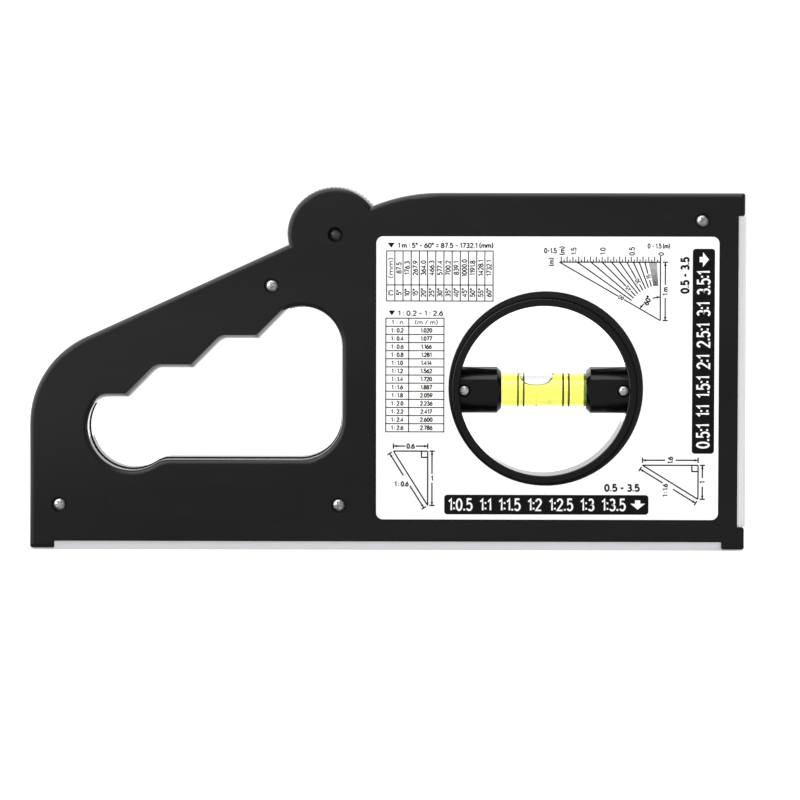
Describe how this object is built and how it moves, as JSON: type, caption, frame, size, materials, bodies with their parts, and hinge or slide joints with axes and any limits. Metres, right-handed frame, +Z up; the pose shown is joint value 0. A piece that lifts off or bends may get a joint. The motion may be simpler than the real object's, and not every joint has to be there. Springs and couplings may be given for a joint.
{
  "type": "slope gauge",
  "caption": "Hand-held slope gauge: moulded case with a handle opening, metal measuring rails on base and side, and a see-through dial with a bubble vial turned by a thumbwheel.",
  "frame": {"origin": "middle of the base rail's measuring face, half way along the 300 mm length and half way through the thickness", "axes": "+X along the base towards the side rail, +Y out of the front (scale) face, +Z up from the base rail to the thumbwheel"},
  "size_m": [0.3, 0.024, 0.1521],
  "materials": {
    "case_plastic": "moulded, fine satin grain",
    "rail_metal": "satin extruded, clear anodised",
    "printed_sheet": "white printed sheet",
    "screw_steel": "nickel-plated",
    "dark_steel": "oiled black",
    "pin_steel": "ground",
    "wheel_grey": "knurled, satin",
    "gear_plastic": "natural acetal",
    "felt": "pressed felt",
    "dial_plastic": "moulded, semi-gloss",
    "pointer_red": "moulded",
    "vial_clear": "clear acrylic",
    "vial_fluid": "tinted spirit",
    "bubble_clear": "air",
    "line_ink": "ink"
  },
  "bodies": {
    "case": {"rear_cover": "case_plastic", "front_case": "case_plastic", "base_rail": "rail_metal", "side_rail": "rail_metal", "rear_label": "printed_sheet", "scale_plate": "printed_sheet", "case_screws": "screw_steel", "axle_screw": "dark_steel", "wheel_axle": "pin_steel", "idler_pin": "pin_steel", "friction_washer": "felt"},
    "dial": {"dial_drum": "dial_plastic", "dial_gear": "gear_plastic", "rear_bezel": "dial_plastic", "front_bezel": "dial_plastic", "index_pointers": "pointer_red", "vial_holder_left": "dial_plastic", "vial_holder_right": "dial_plastic", "holder_screws": "screw_steel", "vial_tube": "vial_clear", "vial_plugs": "dial_plastic", "vial_liquid": "vial_fluid", "vial_lines": "line_ink"},
    "bubble": {"vial_bubble": "bubble_clear"},
    "thumbwheel": {"thumbwheel": "wheel_grey", "drive_pinion": "gear_plastic"},
    "idler": {"idler_gear": "gear_plastic"}
  },
  "joints": [
    {"name": "dial_turn", "type": "hinge", "parent": "case", "child": "dial", "pos_m": [0.0656, 0, 0.0668], "axis": [0, 1, 0], "continuous": true},
    {"name": "idler_turn", "type": "hinge", "parent": "case", "child": "idler", "pos_m": [0.01026, 0, 0.11962], "axis": [0, 1, 0], "continuous": true},
    {"name": "thumbwheel_turn", "type": "hinge", "parent": "case", "child": "thumbwheel", "pos_m": [-0.0219, 0, 0.1321], "axis": [0, 1, 0], "continuous": true},
    {"name": "bubble_travel", "type": "slide", "parent": "dial", "child": "bubble", "axis": [1, 0, 0], "range_m": [-0.004, 0.01]}
  ],
  "couplings": [
    {"joint": "idler_turn", "follows": "dial_turn", "ratio": -2.4},
    {"joint": "thumbwheel_turn", "follows": "dial_turn", "ratio": 4.5}
  ]
}
